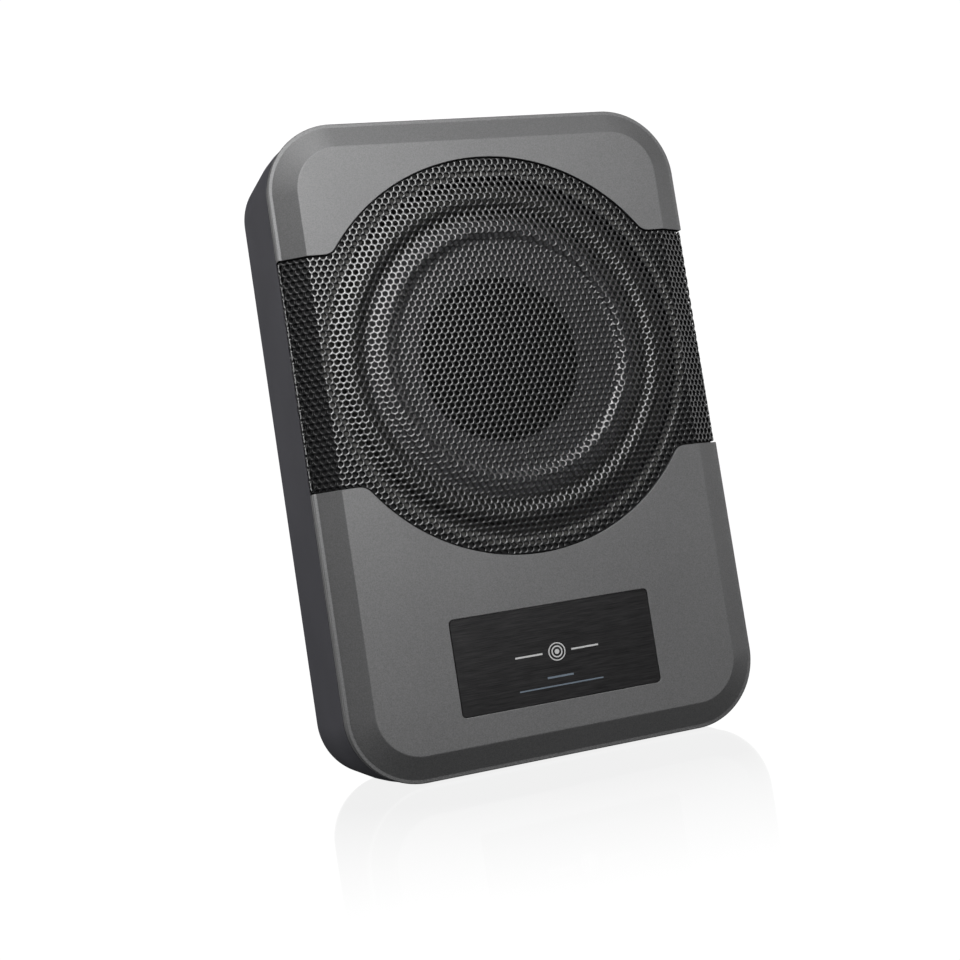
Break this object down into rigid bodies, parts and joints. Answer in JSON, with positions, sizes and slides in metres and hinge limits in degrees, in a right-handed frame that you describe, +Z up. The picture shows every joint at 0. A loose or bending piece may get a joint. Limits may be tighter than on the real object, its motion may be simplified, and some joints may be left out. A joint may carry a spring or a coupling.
{
  "type": "powered car subwoofer",
  "caption": "Slim upright powered car subwoofer: cast enclosure, chamfered cover, wrap-round perforated grille, long-throw driver, built-in amplifier and recessed side control panel.",
  "frame": {"origin": "middle of the footprint under the short end that the enclosure stands on", "axes": "+Z up along the long side, the grille faces -Y, the control panel faces +X"},
  "size_m": [0.231, 0.081, 0.345],
  "materials": {
    "painted_cover": "satin metallic grey paint on a moulded cover",
    "black_grille": "semi-gloss black powder coat on perforated steel",
    "badge": "black brushed plate",
    "casting": "dark grey-blue coated die casting",
    "seal": "black sealing foam",
    "rubber": "matt black moulded rubber",
    "cone_paper": "grey coated cone paper",
    "cap_paper": "black dust cap",
    "spider_cloth": "amber resin-treated cloth",
    "stamped_steel": "black painted stamped steel",
    "former_foil": "coil former foil",
    "copper_wire": "enamelled and braided copper",
    "motor_steel": "zinc-plated motor steel",
    "ferrite": "ground ferrite",
    "heat_sink": "plain extruded aluminium",
    "circuit_board": "green solder mask",
    "epoxy": "black moulded epoxy",
    "capacitor_sleeve": "dark blue shrink sleeve",
    "fuse_body": "amber fuse body",
    "plated_can": "plated component cans",
    "panel_black": "black powder-coated panel",
    "knob_black": "black moulded knobs and sliders",
    "connector_nylon": "black connector nylon",
    "white_plastic": "white signal jack",
    "red_plastic": "red signal jack",
    "lead_red": "red lead insulation",
    "lead_black": "black lead insulation",
    "lamp_lens": "blue lamp lens",
    "black_screw": "black oxide screws"
  },
  "bodies": {
    "enclosure": {"amplifier_board": "circuit_board", "badge_plate": "badge", "capacitor_1": "capacitor_sleeve", "capacitor_2": "capacitor_sleeve", "control_panel": "panel_black", "cover_gasket": "seal", "cover_screw_1": "black_screw", "cover_screw_2": "black_screw", "cover_screw_3": "black_screw", "cover_screw_4": "black_screw", "cover_screw_5": "black_screw", "cover_screw_6": "black_screw", "driver_frame": "stamped_steel", "driver_gasket": "seal", "driver_screw_1": "black_screw", "driver_screw_2": "black_screw", "driver_screw_3": "black_screw", "driver_screw_4": "black_screw", "filter_pot": "plated_can", "front_cover": "painted_cover", "fuse": "fuse_body", "gain_pot": "plated_can", "grille": "black_grille", "heat_sink_bar": "heat_sink", "housing": "casting", "input_switch_body": "plated_can", "magnet": "ferrite", "panel_board": "circuit_board", "panel_screw_1": "black_screw", "panel_screw_2": "black_screw", "panel_screw_3": "black_screw", "panel_screw_4": "black_screw", "phase_switch_body": "plated_can", "power_lamp": "lamp_lens", "power_socket": "connector_nylon", "rca_jack_left": "white_plastic", "rca_jack_right": "red_plastic", "remote_socket": "connector_nylon", "speaker_input_socket": "connector_nylon", "speaker_lead_minus": "lead_black", "speaker_lead_plus": "lead_red", "terminal_strip": "epoxy", "tinsel_lead_left": "copper_wire", "tinsel_lead_right": "copper_wire", "top_plate": "motor_steel", "transformer": "copper_wire", "transistor_1": "epoxy", "transistor_2": "epoxy", "yoke": "motor_steel"},
    "diaphragm": {"cone": "cone_paper", "dust_cap": "cap_paper", "voice_coil_former": "former_foil", "voice_coil": "copper_wire", "surround": "rubber", "spider": "spider_cloth"},
    "gain_control": {"gain_knob": "knob_black"},
    "filter_control": {"filter_knob": "knob_black"},
    "phase_slider": {"phase_switch": "knob_black"},
    "input_slider": {"input_switch": "knob_black"}
  },
  "joints": [
    {"name": "cone_travel", "type": "slide", "parent": "enclosure", "child": "diaphragm", "axis": [0, -1, 0], "range_m": [-0.006, 0.006], "stiffness_N_per_m": 2500, "deforming": ["surround", "spider", "tinsel_lead_left", "tinsel_lead_right"]},
    {"name": "gain_turn", "type": "hinge", "parent": "enclosure", "child": "gain_control", "pos_m": [0.1057, -0.0035, 0.129], "axis": [1, 0, 0], "range_deg": [-150, 150]},
    {"name": "filter_turn", "type": "hinge", "parent": "enclosure", "child": "filter_control", "pos_m": [0.1057, 0.0185, 0.129], "axis": [1, 0, 0], "range_deg": [-150, 150]},
    {"name": "phase_slide", "type": "slide", "parent": "enclosure", "child": "phase_slider", "axis": [0, 0, 1], "range_m": [0, 0.004]},
    {"name": "input_slide", "type": "slide", "parent": "enclosure", "child": "input_slider", "axis": [0, 0, 1], "range_m": [0, 0.004]}
  ]
}
